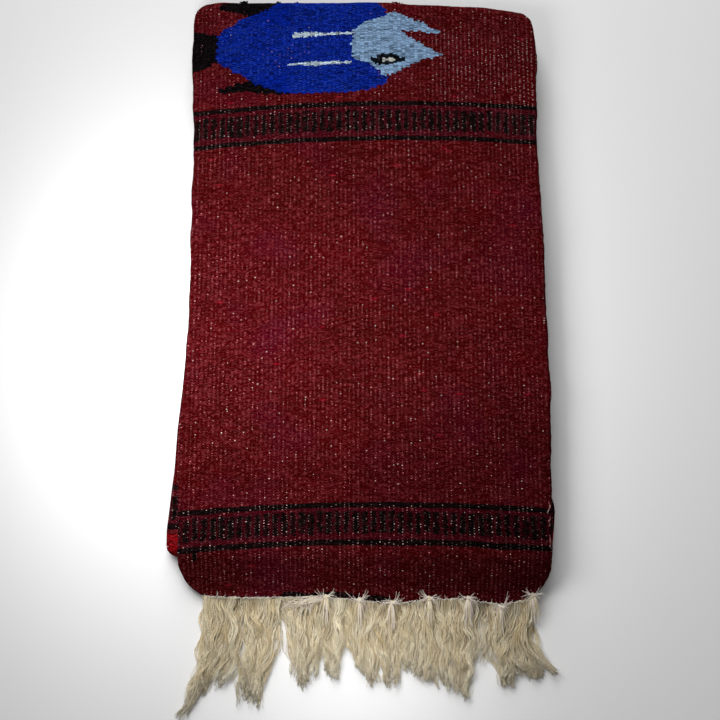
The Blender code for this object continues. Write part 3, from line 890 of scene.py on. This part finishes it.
def buildTucked():
    low, high = packHigh + stack["gap"], 2 * packHigh + stack["gap"]
    start, end = tuckedLow.y - 0.0004, tuckedHigh.y
    ys = np.linspace(start, end, tucked["alongSteps"] + 1)
    ys = np.sort(np.concatenate([ys, [start + 0.0004, start + 0.002, end - 0.0018, end - 0.0009]]))
    wander = softWaves(ys, 0 * ys, tucked["edgeWander"], 8)
    rings, uvs = [], []
    foldLength = pathLine[-1, 0]
    for i, y in enumerate(ys):
        closing = max(0.0, 1.0 - (end - y) / 0.003)
        inset = tucked["startInset"] * (i == 0) + 0.003 * closing ** 2
        left = readTable(lowerEdges, "left", y) - tucked["inset"] - inset
        right = readTable(lowerEdges, "right", y) - tucked["inset"] - inset
        ring = tuckedRing(left, right, low + inset / 2, high - inset / 2, wander[i])
        lift = 0.5 * crownAt(ring[:, 0], y, 0.0) * (ring[:, 1] - low) / (high - low)
        ringX = ring[:, 0] + stack["midlineX"]
        rings.append(np.column_stack([ringX, np.full(len(ring), y), ring[:, 1] + lift]))
        along = foldLength + y - start
        uvs.append(np.column_stack([ring[:, 0], np.full(len(ring), along) + threadSag(ring[:, 0], along)]))
    rings, uvs = np.array(rings), np.array(uvs)
    rowCount, columnCount = rings.shape[:2]
    corner = np.arange(rowCount * columnCount).reshape(rowCount, columnCount)
    following = np.roll(corner, -1, axis=1)
    sides = np.stack([corner[:-1], corner[1:], following[1:], following[:-1]], -1).reshape(-1, 4)
    faces = [list(face) for face in sides] + [list(corner[0]), list(corner[-1][::-1])]
    flat = uvs.reshape(-1, 2)
    return rings.reshape(-1, 3), faces, flat[[index for face in faces for index in face]]


points, faces, faceUvs = buildTucked()
tuckedThird = meshObject("tuckedThird", points, faces, faceUvs)
tuckedThird.data.materials.append(wool)
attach(tuckedThird, "root")
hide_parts("tucked_layers")
print("tucked third:", len(faces), "faces")


# Short tufts of wool that stand out of the top fold, in the colour of the cloth below them

woolTufts = {
    "yarn": 0.00055,
    "sides": 5,
    "turns": (3.0, 5.5),
    "behindFold": 0.0026,
    "belowTop": 0.0085,
    "uneven": 0.0008,
    "x": (-0.1505, -0.1070, -0.0845, 0.0400, 0.0440),
    "yarns": (16, 7, 5, 12, 8),
    "size": (0.0024, 0.0015, 0.0014, 0.0028, 0.0024),
    "across": (-0.150, -0.150, -0.080, 0.0100, 0.0110),
    "along": (0.6190, 0.6190, 0.6400, 0.3000, 0.3020),
}


def buildTufts():
    rng = np.random.default_rng(41)
    share = np.linspace(0, 1, 10)
    lines, places = [], []
    columns = [woolTufts[name] for name in ("x", "yarns", "size", "across", "along")]
    for x, count, size, across, along in zip(*columns):
        for _ in range(count):
            turn = share * rng.uniform(*woolTufts["turns"]) + rng.uniform(0, 6)
            centreX = x + rng.normal(0, size)
            foldY = topFoldY - slantAt(centreX, topCentreY)
            loop = np.column_stack([size * 0.5 * np.cos(turn), size * 0.5 * np.sin(turn),
                                    share * size * rng.uniform(-1, 1)])
            centreZ = stackHigh - woolTufts["belowTop"] + rng.normal(0, woolTufts["uneven"])
            lines.append(loop + [centreX + stack["midlineX"], foldY - woolTufts["behindFold"], centreZ])
            places.append((across, along))
    radii = np.full((len(lines), len(share)), woolTufts["yarn"])
    keys = np.arange(len(lines), dtype=float)
    points, faces, faceUvs = tubes(np.array(lines), radii, woolTufts["sides"], keys)
    spots = np.array(places)[faceUvs[:, 0].astype(int)]
    faceUvs = spots + np.column_stack([faceUvs[:, 0] * 0.0002, faceUvs[:, 1] * 0.0006])
    made = meshObject("woolTufts", points, faces, faceUvs)
    made.data.materials.append(wool)
    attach(made, "root")
    print("tufts:", len(lines), "yarns")


# Fringe: cotton yarns in wavy locks, one row of them for each layer of the hem

fringe = {
    "yarnRadius": 0.00040,
    "tipRadius": 0.00024,
    "steps": 32,
    "sides": 3,
    "curl": 0.0026,
    "curlLength": 0.041,
    "frizz": 0.00045,
    "frizzLength": 0.0105,
    "sway": 0.0042,
    "cross": 0.0014,
    "rootJitter": 0.0022,
    "rootBack": 0.0015,
    "lockYarns": 11,
    "lockRanges": ((0.4, 1.5), (0.65, 1.25), (0.88, 1.0), (0.55, 1.0)),
    "lockPhase": 0.95,
    "lockLoose": 0.30,
    "lockHeight": 0.0012,
    "reachVary": 0.08,
    "levelVary": 0.08,
    "stray": 0.05,
    "strayCurl": 1.6,
    "straySide": 0.0045,
    "floor": 0.0006,
    "rowYarns": (1000, 900, 860),
    "rowSpread": (0.0012, 0.0022, 0.0026),
    "rowHeight": (0.0078, 0.0048, 0.0024),
    "tipHeight": (0.0052, 0.0030, 0.0014),
}
# Each tuft from left to right: where its yarns leave the hem, where they end, how far they
# reach there, how late they draw together, how far they bow sideways, and how full it is
tufts = {
    "root": (-0.1850, -0.1670, -0.1470, -0.1390, -0.0930, -0.0750, -0.0494, -0.0227, 0.0134, 0.0273, 0.0413,
             0.0784, 0.1206, 0.1420, 0.1714, 0.1947),
    "tipLeft": (-0.2090, -0.1910, -0.1450, -0.1385, -0.0805, -0.0715, -0.0447, -0.0087, 0.0222, 0.0330,
                0.0447, 0.0850, 0.1200, 0.1545, 0.1714),
    "tipRight": (-0.1910, -0.1510, -0.1425, -0.1215, -0.0715, -0.0540, -0.0296, 0.0150, 0.0280, 0.0400,
                 0.0830, 0.1156, 0.1482, 0.1700, 0.2175),
    "reachLeft": (0.1480, 0.1200, 0.1310, 0.1150, 0.0940, 0.1110, 0.0900, 0.0890, 0.1070, 0.1070,
                  0.0890, 0.1020, 0.0860, 0.1060, 0.1020),
    "reachRight": (0.1200, 0.1000, 0.1290, 0.1310, 0.1110, 0.0940, 0.1010, 0.1080, 0.1090, 0.1030,
                   0.1100, 0.1270, 0.0800, 0.1070, 0.0960),
    "late": (2.0, 1.5, 1.6, 0.95, 1.3, 1.6, 1.5, 1.3, 1.6, 1.6, 1.5, 1.5, 1.8, 1.4, 2.2),
    "bow": (0.006, 0.006, 0.002, 0.003, 0.0, 0.003, 0.001, -0.002, 0.0, 0.002,
            0.002, 0.003, 0.0, -0.002, -0.011),
    "weight": (1.3, 1.1, 0.35, 1.0, 0.8, 1.0, 1.1, 1.1, 0.9, 0.9, 1.1, 1.0, 0.30, 1.0, 1.3),
}
cottonYarn = {
    "dark": (0.68, 0.54, 0.300),
    "light": (0.99, 0.91, 0.70),
    "tea": (0.50, 0.32, 0.17),
    "teaFrom": 0.88,
    "pale": (0.90, 0.82, 0.76),
    "paleFrom": 5000.0,
    "tip": (0.46, 0.46, 0.42),
    "tipShare": 0.40,
    # The colour of the painted shade in the ply's grooves
    "groove": (0.30, 0.22, 0.12),
    "bumpDepth": 0.0002,
}


def cottonMaterial():
    material, tree, shader = newMaterial("creamCotton", 0.85, gloss=0.05, sheen=0.05)
    colourMix, pair, noiseAt, dice = maker(tree)[:4]
    yarn, along = uvPlaces(tree)
    own = dice(round(yarn * 1000.0), 3.0)
    lock = math.floor(yarn)
    stain = noiseAt(pair(lock, along * 3.5), 1.0, 1.0)
    # Each yarn and each lock takes a random tone between dark and light, partly the cotton's own tone and
    # partly painted shade between the locks
    shade = (own * 0.45 + dice(lock, 5.0) * 0.50 + stain.spread(1.6, 0.45)).clamped()
    colour = colourMix(shade, cottonYarn["dark"], cottonYarn["light"])
    tea = dice(lock, own, 9.0) > cottonYarn["teaFrom"]
    colour = colourMix(tea * 0.5, colour, cottonYarn["tea"])
    pale = yarn > cottonYarn["paleFrom"]
    colour = colourMix(pale * 0.8, colour, cottonYarn["pale"])
    grey = (along ** 4.0 * cottonYarn["tipShare"]).clamped()
    colour = colourMix(grey, colour, cottonYarn["tip"])
    # Painted shade darkens the grooves of the ply twist
    ply = (along * 260.0 + own * 40.0).sine()
    colour = colourMix((ply + 1.0) * 0.07, colour, cottonYarn["groove"])
    feed(tree, shader.inputs["Base Color"], colour)
    addBump(tree, shader, ply, 0.5, cottonYarn["bumpDepth"])
    return material


cotton = cottonMaterial()


def tubes(lines, radii, sides, keys):
    # Closed tubes round many lines at once: lines is (yarn, step, xyz), radii (yarn, step), and
    # keys give each yarn its own colour, with the same whole number for a lock
    count, steps = lines.shape[:2]
    ahead = np.gradient(lines, axis=1)
    ahead /= np.linalg.norm(ahead, axis=2, keepdims=True) + 1e-12
    side = np.cross(ahead, np.array([0.0, 0.0, 1.0]))
    tooSteep = np.linalg.norm(side, axis=2, keepdims=True) < 1e-3
    side = np.where(tooSteep, np.array([1.0, 0.0, 0.0]), side)
    side /= np.linalg.norm(side, axis=2, keepdims=True)
    up = np.cross(side, ahead)
    turns = np.arange(sides) / sides * 2 * math.pi
    ring = (side[:, :, None, :] * np.cos(turns)[None, None, :, None] +
            up[:, :, None, :] * np.sin(turns)[None, None, :, None])
    points = lines[:, :, None, :] + ring * radii[:, :, None, None]
    corner = np.arange(count * steps * sides).reshape(count, steps, sides)
    following = np.roll(corner, -1, axis=2)
    walls = np.stack([corner[:, :-1], following[:, :-1], following[:, 1:], corner[:, 1:]], -1)
    faces = [list(face) for face in walls.reshape(-1, 4)]
    faces += [list(face) for face in corner[:, 0, ::-1]] + [list(face) for face in corner[:, -1]]
    yarn = np.broadcast_to(keys[:, None, None], corner.shape).ravel()
    along = np.broadcast_to(np.linspace(0, 1, steps)[None, :, None], corner.shape).ravel()
    flat = np.column_stack([yarn, along])
    return points.reshape(-1, 3), faces, flat[[index for face in faces for index in face]]


def hemEdge(x, layer):
    # The hem's own line, with its rounded corners
    leftRadius, rightRadius = stack["hemCornerLeft"], stack["hemCornerRight"]
    left = leftRadius - readTable(upperEdges, "left", hemY)
    right = readTable(upperEdges, "right", hemY) - rightRadius
    leftRise = leftRadius - np.sqrt(leftRadius ** 2 - np.clip(left - x, 0, 0.04) ** 2)
    rightRise = rightRadius - np.sqrt(rightRadius ** 2 - np.clip(x - right, 0, 0.03) ** 2)
    return hemY + hemShift(x, hemY, layer * layerStep) + leftRise + rightRise


def fringeRow(name, node, layer, seed):
    rng = np.random.default_rng(seed)
    weights = np.array(tufts["weight"]) * np.diff(tufts["root"])
    total = fringe["rowYarns"][layer]
    counts = np.maximum(6, np.round(weights / weights.sum() * total).astype(int))
    share = np.linspace(0, 1, fringe["steps"])
    lines, radii, keys = [], [], []
    lockCount = 100 * layer
    for tuft, count in enumerate(counts):
        rootLeft, rootRight = tufts["root"][tuft], tufts["root"][tuft + 1]
        tipLeft, tipRight = tufts["tipLeft"][tuft], tufts["tipRight"][tuft]
        locks = max(2, round(count / fringe["lockYarns"]))
        lockPlace = (np.arange(locks) + rng.uniform(0.2, 0.8, locks)) / locks
        # Neighbouring locks of a tuft wave nearly together
        lockPhase = rng.uniform(0, 2 * math.pi, 4) + np.cumsum(
            rng.normal(0, fringe["lockPhase"], (locks, 4)), axis=0)
        lockSize, lockWave, lockReach, lockLevel = [
            rng.uniform(low, high, locks) for low, high in fringe["lockRanges"]]
        lockSway = rng.normal(0, fringe["sway"], locks)
        for _ in range(count):
            own = rng.integers(locks)
            spreadOut = rng.normal(0, fringe["lockLoose"] / locks)
            across = np.clip(lockPlace[own] + spreadOut, 0, 1)
            rootX = mix(rootLeft, rootRight, across) + rng.normal(0, fringe["rootJitter"])
            rootX = rootX + rng.normal(0, fringe["rowSpread"][layer])
            rootX = np.clip(rootX, tufts["root"][0], tufts["root"][-1])
            tipX = mix(tipLeft, tipRight, np.clip(lockPlace[own] + 0.6 * spreadOut, 0, 1))
            reach = mix(tufts["reachLeft"][tuft], tufts["reachRight"][tuft], across)
            reach *= lockReach[own] * (1.0 - fringe["reachVary"] * rng.random() ** 2)
            loose = rng.random() < fringe["stray"]
            startY = hemEdge(rootX, layer) + fringe["rootBack"]
            y = mix(startY, hemY - reach, share)
            x = mix(rootX, tipX, share ** tufts["late"][tuft])
            wave = share * 2 * math.pi * reach / fringe["curlLength"] * lockWave[own]
            size = fringe["curl"] * lockSize[own] * smooth(share * 5)
            size = size * (fringe["strayCurl"] if loose else 1.0)
            x = x + size * np.sin(wave * rng.uniform(0.97, 1.03) + lockPhase[own, 0] + rng.normal(0, 0.16))
            x = x + 0.6 * size * np.sin(wave * 0.43 + lockPhase[own, 1])
            x = x + (lockSway[own] + tufts["bow"][tuft]) * np.sin(share * math.pi) * smooth(share * 2)
            cross = rng.uniform(4, 9) * share + rng.uniform(0, 6)
            x = x + rng.normal(0, fringe["cross"]) * np.sin(cross) * smooth(share * 4)
            small = share * 2 * math.pi * reach / fringe["frizzLength"] * rng.uniform(0.8, 1.25)
            x = x + fringe["frizz"] * np.sin(small + rng.uniform(0, 6)) * smooth(share * 3)
            if loose:
                x = x + rng.normal(0, fringe["straySide"]) * share ** 2
            high = mix(fringe["rowHeight"][layer], fringe["tipHeight"][layer], smooth(share * 1.3))
            high = mix(hemZ - layer * layerStep, high, smooth(share * 9))
            level = np.clip(lockLevel[own] + rng.normal(0, fringe["levelVary"]), 0.05, 1.1)
            z = fringe["floor"] + high * mix(1.0, level, smooth(share * 5))
            z = z + fringe["lockHeight"] * np.sin(wave + lockPhase[own, 2]) * smooth(share * 6)
            lines.append(np.column_stack([x + stack["midlineX"], y, np.maximum(z, fringe["floor"])]))
            keys.append(lockCount + own + 0.9 * rng.random())
            radius = mix(fringe["yarnRadius"], fringe["tipRadius"], share ** 2)
            radii.append(radius * rng.uniform(0.75, 1.25))
        lockCount += locks
    points, faces, faceUvs = tubes(np.array(lines), np.array(radii), fringe["sides"], np.array(keys))
    made = meshObject(name, points, faces, faceUvs)
    made.data.materials.append(cotton)
    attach(made, "root")
    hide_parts(node)
    print(name, len(lines), "yarns")
    return made


faceFringe = fringeRow("faceFringe", "fringe_face", 0, 21)
leftFlapFringe = fringeRow("leftFlapFringe", "fringe_left_flap", 1, 22)
rightFlapFringe = fringeRow("rightFlapFringe", "fringe_right_flap", 2, 23)


# Knots along the hem, each a few turns of yarn with whiskers above and a bunch below

knots = {
    "x": (-0.0446, -0.0060, 0.0312, 0.0738, 0.1180, 0.1545, 0.1925),
    "above": (0.0015, 0.0005, 0.0010, 0.0015, 0.0020, -0.0030, 0.0015),
    "radius": 0.0026,
    "long": 0.0040,
    "coils": 4,
    "turns": 2.6,
    "yarn": 0.00042,
    "whiskers": 26,
    "whiskerLength": (0.004, 0.014),
    "whiskerYarn": (0.00030, 0.00014),
    "bunchYarns": 26,
    "bunchLength": (0.018, 0.034),
    "bunchWide": 0.0052,
}
tangle = {
    "fromX": -0.0500,
    "fromSpread": 0.0065,
    "toX": (-0.0980, -0.0600),
    "drop": (0.000, 0.016),
    "loop": 0.0011,
    "yarns": 40,
    "yarn": 0.00024,
}
hemStitches = {
    "pitch": 0.0030,
    "size": 0.0020,
    "yarn": 0.00042,
    "stubs": 150,
    "stubLength": (0.0015, 0.0050),
    "stubYarn": (0.00028, 0.00014),
}


def whiskerLine(rng, start, angle, length, share):
    out = np.array([math.cos(angle), math.sin(angle) * 0.8, 0.0])
    hook = np.array([-out[1], out[0], 0.0]) * rng.normal(0, 0.55)
    line = start + np.outer(share, out) * length + np.outer(share ** 2, hook) * length
    line[:, 2] += 0.0016 * np.sin(share * math.pi * 0.9) + rng.uniform(0.0, 0.0010)
    return line


def buildKnots():
    rng = np.random.default_rng(31)
    share = np.linspace(0, 1, 24)
    lines, radii, keys = [], [], []

    def addYarn(line, thick, pale):
        lines.append(line)
        radii.append(np.broadcast_to(thick, share.shape))
        keys.append(rng.uniform(300, 4000) + cottonYarn["paleFrom"] * pale)

    for x, above in zip(knots["x"], knots["above"]):
        centre = np.array([x + stack["midlineX"], hemEdge(x, 0) + above, hemZ + 0.0028])
        for loop in range(knots["coils"]):
            turn = share * 2 * math.pi * knots["turns"] + rng.uniform(0, 6)
            tilt = rng.normal(0, 0.7)
            tiltX, tiltY = math.cos(tilt), math.sin(tilt)
            size = knots["radius"] * rng.uniform(0.6, 1.05)
            coil = np.column_stack([np.cos(turn) * size, (share - 0.5) * knots["long"],
                                    np.sin(turn) * size * 0.7])
            spin = np.array([[tiltX, -tiltY, 0], [tiltY, tiltX, 0], [0, 0, 1]])
            addYarn(coil @ spin.T + centre, knots["yarn"], loop < 2)
        for _ in range(knots["whiskers"]):
            angle = rng.normal(0.18, 0.34)
            angle = math.pi - angle if rng.random() < 0.5 else angle
            line = whiskerLine(rng, centre, angle, rng.uniform(*knots["whiskerLength"]), share)
            addYarn(line, mix(*knots["whiskerYarn"], share), True)
        for _ in range(knots["bunchYarns"]):
            aim = rng.normal(0, 0.7) * knots["bunchWide"]
            length = rng.uniform(*knots["bunchLength"])
            bunchX = centre[0] + aim * np.sqrt(share)
            bunchX = bunchX + 0.0007 * np.sin(share * 9 + rng.uniform(0, 6)) * share
            bunchZ = centre[2] + 0.0012 * np.sin(share * math.pi) - 0.0040 * smooth(share)
            bunchZ = bunchZ + rng.normal(0, 0.0004)
            addYarn(np.column_stack([bunchX, centre[1] - share * length, bunchZ]),
                    mix(knots["yarn"], 0.0003, share), rng.random() < 0.45)
    for _ in range(tangle["yarns"]):
        # Loose yarns trail sideways from the first knot in uneven loops
        fromX = tangle["fromX"] + rng.normal(0, tangle["fromSpread"])
        endX = rng.uniform(*tangle["toX"])
        drop = rng.uniform(*tangle["drop"])
        x = mix(fromX, endX, np.sin(share * math.pi * rng.uniform(0.42, 0.72)))
        x = x + tangle["loop"] * rng.normal() * np.sin(share * rng.uniform(6, 14))
        y = hemEdge(x, 0) + rng.normal(-0.0015, 0.0015) - drop * share ** rng.uniform(0.7, 2.2)
        y = y + tangle["loop"] * rng.normal() * np.sin(share * rng.uniform(6, 14))
        z = hemZ + 0.0020 + rng.normal(0, 0.0006) - 0.10 * np.clip(hemEdge(x, 0) - y, 0, 1)
        addYarn(np.column_stack([x + stack["midlineX"], y, z]), tangle["yarn"], rng.random() < 0.8)
    hemRun = np.arange(tufts["root"][0] + 0.004, tufts["root"][-1] - 0.004, hemStitches["pitch"])
    for x in hemRun:
        # The twined line that locks the last pick
        sideX = x + stack["midlineX"] + hemStitches["pitch"] * (share - 0.5) * 1.5
        sideY = hemEdge(x, 0) - 0.0002 + hemStitches["size"] * (share - 0.5) * rng.choice((-1, 1))
        sideZ = hemZ + clothThick / 2 + 0.0002 + 0.0004 * np.sin(share * math.pi)
        addYarn(np.column_stack([sideX, sideY, sideZ]), hemStitches["yarn"] * rng.uniform(0.5, 1.0), True)
    for _ in range(hemStitches["stubs"]):
        x = rng.uniform(tufts["root"][0], tufts["root"][-1])
        start = np.array([x + stack["midlineX"], hemEdge(x, 0), hemZ + clothThick / 2])
        angle = rng.normal(0.0, 0.5) + math.pi * rng.integers(2)
        line = whiskerLine(rng, start, angle, rng.uniform(*hemStitches["stubLength"]), share)
        addYarn(line, mix(*hemStitches["stubYarn"], share), True)
    points, faces, faceUvs = tubes(np.array(lines), np.array(radii), 4, np.array(keys))
    faceUvs = faceUvs * np.array([1.0, 0.4])
    made = meshObject("hemKnots", points, faces, faceUvs)
    made.data.materials.append(cotton)
    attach(made, "root")
    print("knots:", len(knots["x"]))
    return made


hemKnots = buildKnots()
buildTufts()


# Floor, light and camera

studio = {
    "floorSize": 12.0,
    "floorColour": (0.93, 0.93, 0.93),
    "floorPale": (0.95, 0.95, 0.95),
    "worldStrength": 0.18,
    "sidePower": 2.15,
    "sideSize": 0.30,
    "sidePlace": (-0.222, -0.003, 0.37),
    "fringePower": 0.050,
    "fringeSize": 0.20,
    "fringeSpread": 60.0,
    "fringePlace": (-0.005, -0.375, 0.27),
    "windowPower": 60.0,
    "windowSize": 1.6,
    "windowPlace": (-0.30, 2.4, 1.35),
}
cameraView = {
    "tiltDegrees": 10.0,
    "distance": 1.2,
    "aim": (-0.0008, -0.0283, 0.034),
    "focalPixels": 1027.0,
    "imagePixels": 720.0,
}


def addFloor():
    half = studio["floorSize"] / 2
    corners = np.array([(-half, -half, 0.0), (half, -half, 0.0), (half, half, 0.0), (-half, half, 0.0)])
    floor = meshObject("paleFloor", corners, [[0, 1, 2, 3]])
    material, tree, shader = newMaterial("palePaper", 0.9)
    colourMix, _, noiseAt = maker(tree)[:3]
    where = Wire(tree, tree.nodes.new("ShaderNodeTexCoord").outputs["Object"])
    paper = colourMix(noiseAt(where, 3.0), studio["floorColour"], studio["floorPale"])
    feed(tree, shader.inputs["Base Color"], paper)
    floor.data.materials.append(material)


def addLight(name, power, size, place):
    lamp = bpy.data.lights.new(name, "AREA")
    lamp.energy = power
    lamp.size = size
    holder = bpy.data.objects.new(name, lamp)
    holder.location = place
    aim = np.array(cameraView["aim"]) - np.array(place)
    tilt = math.acos(-aim[2] / np.linalg.norm(aim))
    holder.rotation_euler = (tilt, 0.0, math.atan2(-aim[0], aim[1]))
    holder.visible_camera = False
    bpy.context.scene.collection.objects.link(holder)
    return holder


def addWorld():
    world = bpy.data.worlds.new("paleStudio")
    world.use_nodes = True
    world.node_tree.nodes["Background"].inputs["Color"].default_value = (1.0, 1.0, 1.0, 1.0)
    world.node_tree.nodes["Background"].inputs["Strength"].default_value = studio["worldStrength"]
    bpy.context.scene.world = world


def addCamera():
    tilt = math.radians(cameraView["tiltDegrees"])
    aim = np.array(cameraView["aim"])
    lens = bpy.data.cameras.new("photoView")
    lens.sensor_width = 36.0
    lens.lens = cameraView["focalPixels"] / cameraView["imagePixels"] * lens.sensor_width
    camera = bpy.data.objects.new("photoView", lens)
    back = np.array([0.0, -math.sin(tilt), math.cos(tilt)])
    camera.location = aim + back * cameraView["distance"]
    camera.rotation_euler = (tilt, 0.0, 0.0)
    bpy.context.scene.collection.objects.link(camera)
    bpy.context.scene.camera = camera


addFloor()
addWorld()
addLight("sideLight", studio["sidePower"], studio["sideSize"], studio["sidePlace"])
addLight("windowLight", studio["windowPower"], studio["windowSize"], studio["windowPlace"])
fringeLight = addLight("fringeLight", studio["fringePower"], studio["fringeSize"], studio["fringePlace"])
fringeLight.rotation_euler = (0.0, 0.0, 0.0)
fringeLight.data.spread = math.radians(studio["fringeSpread"])
addCamera()
bpy.context.scene.view_settings.view_transform = "Standard"
print("studio ready")

bpy.context.view_layer.update()
